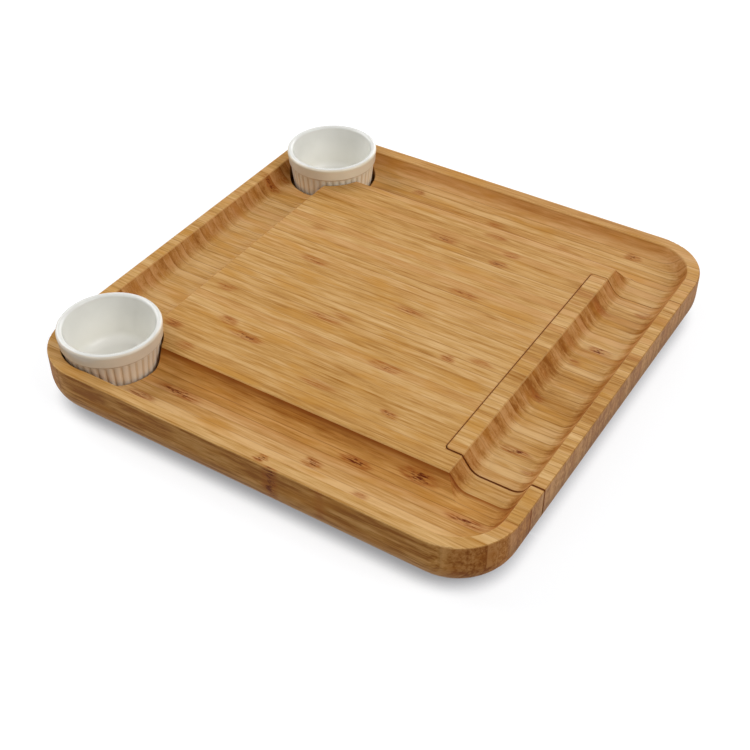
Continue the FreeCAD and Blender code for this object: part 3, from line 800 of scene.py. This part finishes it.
# painted warm reflection of the wood on each ramekin's outside, stronger on the near one
near_wood_reflection = rgb(246, 233, 216)
far_wood_reflection = rgb(255, 247, 230)
for ramekin, wood_reflection in (("near_ramekin", near_wood_reflection), ("far_ramekin", far_wood_reflection)):
    dress(ramekin, ramekin_material(ramekin + " glaze", wood_reflection, *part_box(ramekin)))


# ---- Floor and light -----------------------------------------------------------
# A plain pale floor, four soft boxes round the board, strong to its left and right, low
# behind it and weak in front of it, and an even pale surround.

def to_viewer(tree):
    """1 for the rays that show a surface: seen straight, in a mirror or through glass."""
    path = add(tree, "ShaderNodeLightPath").outputs
    seen = calc(tree, "MAXIMUM", path["Is Camera Ray"], path["Is Glossy Ray"])
    return calc(tree, "MAXIMUM", seen, path["Is Transmission Ray"])


floor_half_side = 1.6
floor_below = 0.0002
floor_mesh = bpy.data.meshes.new("floor")
floor_shape = bmesh.new()
bmesh.ops.create_grid(floor_shape, x_segments=1, y_segments=1, size=floor_half_side)
bmesh.ops.translate(floor_shape, verts=floor_shape.verts, vec=(0, 0, -floor_below))
floor_shape.to_mesh(floor_mesh)
floor_shape.free()
floor = bpy.data.objects.new("floor", floor_mesh)
scene.collection.objects.link(floor)

# the floor looks white but darkens close under the board, and throws back a felt's light
floor_finish = bpy.data.materials.new("floor")
floor_finish.use_nodes = True
floor_tree = floor_finish.node_tree
floor_tree.nodes.remove(floor_tree.nodes["Principled BSDF"])
contact_reach = 0.015
contact_shade = (0.29, 0.30, 0.32, 1.0)
glow_strength = 0.755
pale_grey = rgb(162, 164, 167)
felt_grey = rgb(178, 178, 178)
open_above = add(floor_tree, "ShaderNodeAmbientOcclusion", {"Distance": contact_reach}, samples=16)
open_above = step_up(floor_tree, open_above.outputs["AO"], 0.15, 0.80)
contact = blend(floor_tree, open_above, contact_shade, (1, 1, 1, 1))
pale = add(floor_tree, "ShaderNodeBsdfDiffuse", {"Color": pale_grey}).outputs[0]
glow = add(floor_tree, "ShaderNodeEmission", {"Color": contact, "Strength": glow_strength}).outputs[0]
shown = add(floor_tree, "ShaderNodeAddShader", {0: pale, 1: glow}).outputs[0]
felt = add(floor_tree, "ShaderNodeBsdfDiffuse", {"Color": felt_grey}).outputs[0]
floor_mix = add(floor_tree, "ShaderNodeMixShader", {0: to_viewer(floor_tree), 1: felt, 2: shown})
floor_tree.links.new(floor_mix.outputs[0], floor_tree.nodes["Material Output"].inputs["Surface"])
floor_mesh.materials.append(floor_finish)

surround = bpy.data.worlds.new("surround")
surround.use_nodes = True
scene.world = surround
surround_tree = surround.node_tree
surround_light = 0.178
surround_strength = calc(surround_tree, "MULTIPLY_ADD", to_viewer(surround_tree), 1.0 - surround_light,
                         surround_light)
surround_tree.links.new(surround_strength, surround_tree.nodes["Background"].inputs["Strength"])
surround_tree.nodes["Background"].inputs["Color"].default_value = (1, 1, 1, 1)

soft_box_side = 1.7
soft_box_distance = 2.5
for name, direction, energy in (("left", (-0.8, 0.0, 0.6), 33.0), ("right", (0.8, 0.0, 0.6), 33.0),
                                ("back", (0.0, 0.94, 0.34), 25.0), ("front", (0.0, -0.8, 0.6), 8.5)):
    soft_box = bpy.data.lights.new(name, "AREA")
    soft_box.shape = "SQUARE"
    soft_box.size = soft_box_side
    soft_box.energy = energy
    lamp = bpy.data.objects.new(name, soft_box)
    lamp.location = soft_box_distance * Vector(direction)
    lamp.rotation_euler = Vector(direction).to_track_quat("Z", "Y").to_euler()
    scene.collection.objects.link(lamp)
